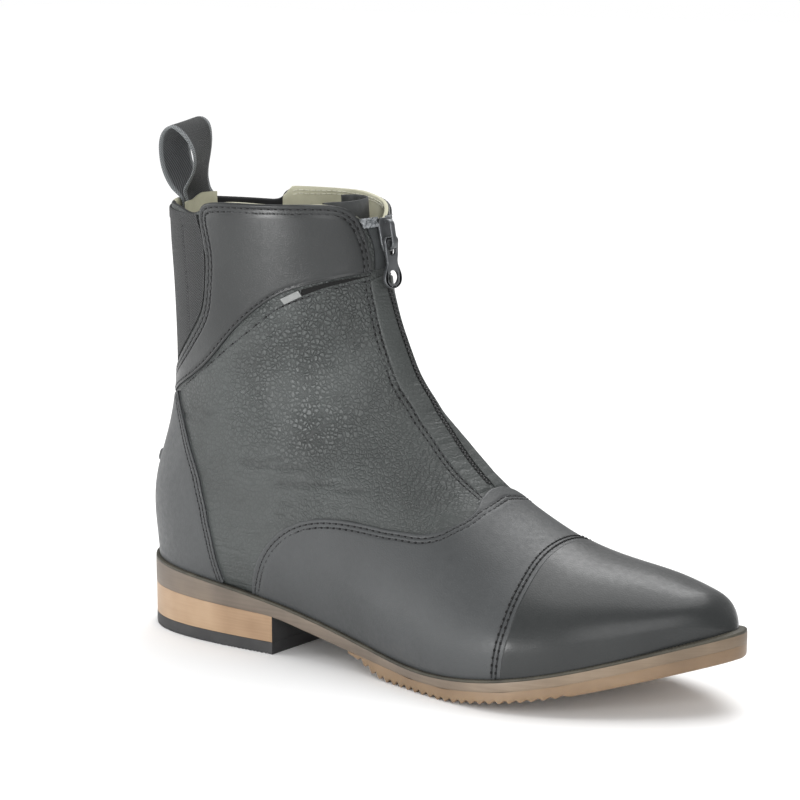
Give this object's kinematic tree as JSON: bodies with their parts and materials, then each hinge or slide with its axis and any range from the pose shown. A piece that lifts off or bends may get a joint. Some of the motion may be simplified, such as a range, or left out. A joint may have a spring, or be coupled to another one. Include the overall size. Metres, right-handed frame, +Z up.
{
  "type": "zip boot",
  "caption": "Low-heeled leather ankle boot for the right foot, with a front zip, elastic panels round the back of the shaft, a capped toe and a webbing pull loop.",
  "frame": {"origin": "bottom centre of the whole boot's box, on the floor that it stands on", "axes": "+X from heel to toe, +Y towards the medial side, +Z up"},
  "size_m": [0.2948, 0.0938, 0.2275],
  "materials": {
    "collar_panel_lateral": "semi-gloss tumbled grain",
    "collar_panel_medial": "semi-gloss tumbled grain",
    "elastic_gore": "ribbed elastic",
    "heel_block": "satin, fine streaks",
    "heel_counter": "semi-gloss tumbled grain",
    "heel_top_piece": "matt",
    "insole": "matt",
    "midsole": "matt, brushed",
    "outsole": "translucent amber, satin",
    "pull_loop": "herringbone webbing",
    "side_tag": "matt, plain",
    "spur_rest": "semi-gloss tumbled grain",
    "toe_cap": "semi-gloss tumbled grain",
    "upper": "semi-gloss tumbled grain",
    "vamp": "semi-gloss tumbled grain",
    "welt": "matt, ribbed",
    "zip_chain": "satin",
    "zip_facing_lateral": "semi-gloss tumbled grain",
    "zip_facing_medial": "semi-gloss tumbled grain",
    "zip_guard": "matt",
    "zip_pull_tab": "semi-gloss black",
    "zip_slider": "semi-gloss black",
    "zip_tape_lateral": "woven",
    "zip_tape_medial": "woven"
  },
  "bodies": {
    "boot": {"collar_panel_lateral": "collar_panel_lateral", "collar_panel_medial": "collar_panel_medial", "elastic_gore": "elastic_gore", "heel_block": "heel_block", "heel_counter": "heel_counter", "heel_top_piece": "heel_top_piece", "insole": "insole", "midsole": "midsole", "outsole": "outsole", "pull_loop": "pull_loop", "side_tag": "side_tag", "spur_rest": "spur_rest", "toe_cap": "toe_cap", "upper": "upper", "vamp": "vamp", "welt": "welt", "zip_chain": "zip_chain", "zip_facing_lateral": "zip_facing_lateral", "zip_facing_medial": "zip_facing_medial", "zip_guard": "zip_guard", "zip_slider": "zip_slider", "zip_tape_lateral": "zip_tape_lateral", "zip_tape_medial": "zip_tape_medial"},
    "pull_tab": {"zip_pull_tab": "zip_pull_tab"}
  },
  "joints": [
    {"name": "pull_tab_hinge", "type": "hinge", "parent": "boot", "child": "pull_tab", "pos_m": [-0.02028, 0.00057, 0.18146], "axis": [-0.1564, -0.9877, 0], "range_deg": [0, 115]}
  ]
}
